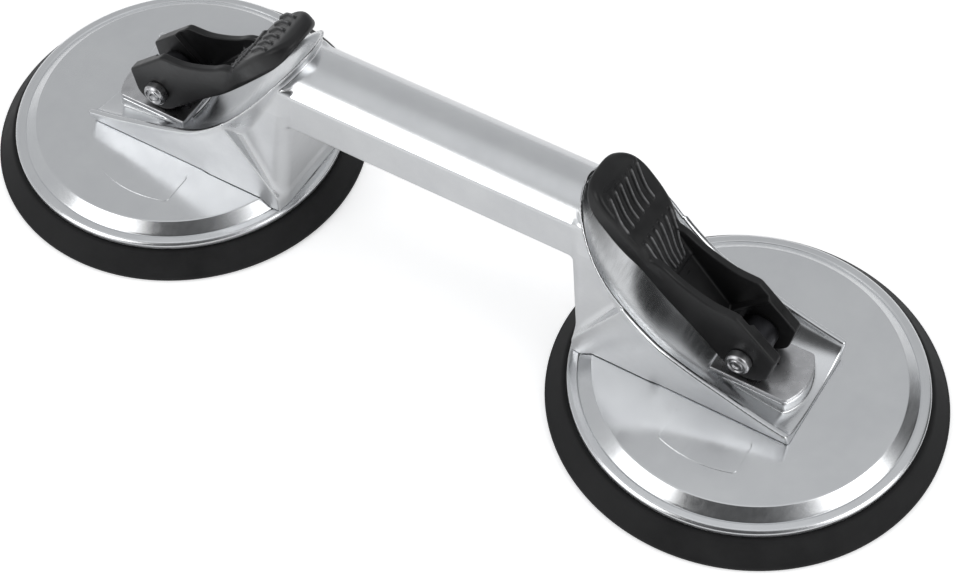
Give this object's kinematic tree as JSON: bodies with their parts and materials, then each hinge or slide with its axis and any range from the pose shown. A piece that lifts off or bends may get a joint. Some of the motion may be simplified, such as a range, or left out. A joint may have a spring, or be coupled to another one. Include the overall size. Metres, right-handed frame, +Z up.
{
  "type": "hand vacuum lifter",
  "caption": "Hand vacuum lifter: cast bar handle with a round suction cup under each end, each worked by a folding cam lever.",
  "frame": {"origin": "on the floor under the sealing lips, midway between the two cups", "axes": "+X along the handle from the left cup to the right cup, +Z up, levers' pins along Y"},
  "size_m": [0.324, 0.12, 0.0757],
  "materials": {
    "cast_aluminium": "polished casting",
    "cover_aluminium": "polished",
    "black_rubber": "matte moulded",
    "black_plastic": "satin moulded",
    "plated_steel": "plated",
    "black_steel": "blackened",
    "spring_steel": "oiled wire",
    "bush_bronze": "machined"
  },
  "bodies": {
    "frame": {"handle_casting": "cast_aluminium", "cup_cover_left": "cover_aluminium", "suction_pad_left": "black_rubber", "wear_plate_left": "plated_steel", "guide_bush_left": "bush_bronze", "return_spring_left": "spring_steel", "cover_screw_left_1": "plated_steel", "cover_screw_left_2": "plated_steel", "cover_screw_left_3": "plated_steel", "cover_screw_left_4": "plated_steel", "cup_cover_right": "cover_aluminium", "suction_pad_right": "black_rubber", "wear_plate_right": "plated_steel", "guide_bush_right": "bush_bronze", "return_spring_right": "spring_steel", "cover_screw_right_1": "plated_steel", "cover_screw_right_2": "plated_steel", "cover_screw_right_3": "plated_steel", "cover_screw_right_4": "plated_steel"},
    "draw_gear_left": {"draw_stud_left": "black_steel", "pad_hub_left": "black_rubber", "pad_insert_left": "plated_steel", "spring_seat_left": "plated_steel", "pivot_pin_left": "plated_steel", "pin_clip_left": "plated_steel"},
    "cam_lever_left": {"lever_left": "black_plastic"},
    "draw_gear_right": {"draw_stud_right": "black_steel", "pad_hub_right": "black_rubber", "pad_insert_right": "plated_steel", "spring_seat_right": "plated_steel", "pivot_pin_right": "plated_steel", "pin_clip_right": "plated_steel"},
    "cam_lever_right": {"lever_right": "black_plastic"}
  },
  "joints": [
    {"name": "draw_slide_left", "type": "slide", "parent": "frame", "child": "draw_gear_left", "axis": [0, 0, 1], "range_m": [0, 0.0032], "deforming": ["return_spring_left"]},
    {"name": "lever_hinge_left", "type": "hinge", "parent": "draw_gear_left", "child": "cam_lever_left", "pos_m": [-0.102, 0, 0.03], "axis": [0, -1, 0], "range_deg": [0, 145]},
    {"name": "draw_slide_right", "type": "slide", "parent": "frame", "child": "draw_gear_right", "axis": [0, 0, 1], "range_m": [0, 0.0032], "deforming": ["return_spring_right"]},
    {"name": "lever_hinge_right", "type": "hinge", "parent": "draw_gear_right", "child": "cam_lever_right", "pos_m": [0.102, 0, 0.03], "axis": [0, 1, 0], "range_deg": [0, 145]}
  ],
  "couplings": [
    {"joint": "lever_hinge_left", "follows": "draw_slide_left", "rad_per_m": 790.8},
    {"joint": "lever_hinge_right", "follows": "draw_slide_right", "rad_per_m": 790.8}
  ]
}
